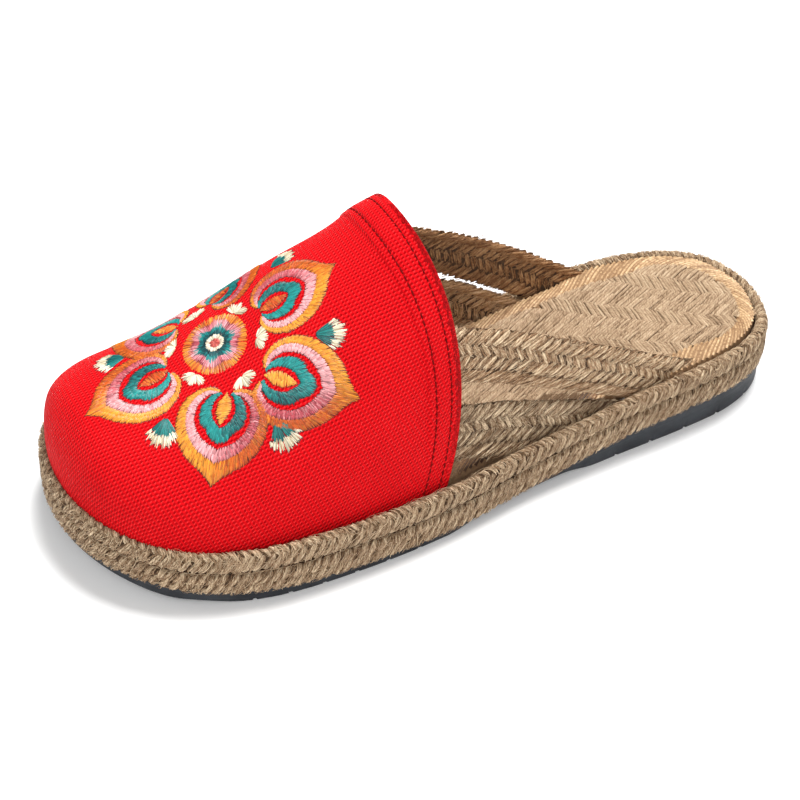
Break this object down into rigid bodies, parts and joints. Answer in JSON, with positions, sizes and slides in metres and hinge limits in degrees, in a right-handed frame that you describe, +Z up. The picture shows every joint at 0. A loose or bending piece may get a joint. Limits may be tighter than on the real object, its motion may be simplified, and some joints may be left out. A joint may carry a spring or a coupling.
{
  "type": "embroidered slipper",
  "caption": "Backless espadrille slipper: closed embroidered canvas vamp, braided jute straps and side rows, herringbone jute insole, rubber outsole.",
  "frame": {"origin": "on the floor, under the middle of the bounding box", "axes": "toe towards -Y, heel towards +Y, outer side of the left foot towards +X, +Z up"},
  "size_m": [0.1014, 0.2583, 0.0956],
  "materials": {
    "rubber": "matte moulded rubber",
    "jute": "coarse braided jute with loose hairs",
    "insole_jute": "fine herringbone jute",
    "satin": "shiny twill binding",
    "canvas": "heavy diagonal weave canvas with satin-stitch embroidery"
  },
  "bodies": {
    "root": {"outsole": "rubber", "midsole": "jute", "side_braid": "jute", "insole": "insole_jute", "insole_binding": "satin", "vamp": "canvas", "strap_lateral_upper": "jute", "strap_lateral_lower": "jute", "strap_medial_upper": "jute", "strap_medial_lower": "jute"}
  },
  "joints": []
}
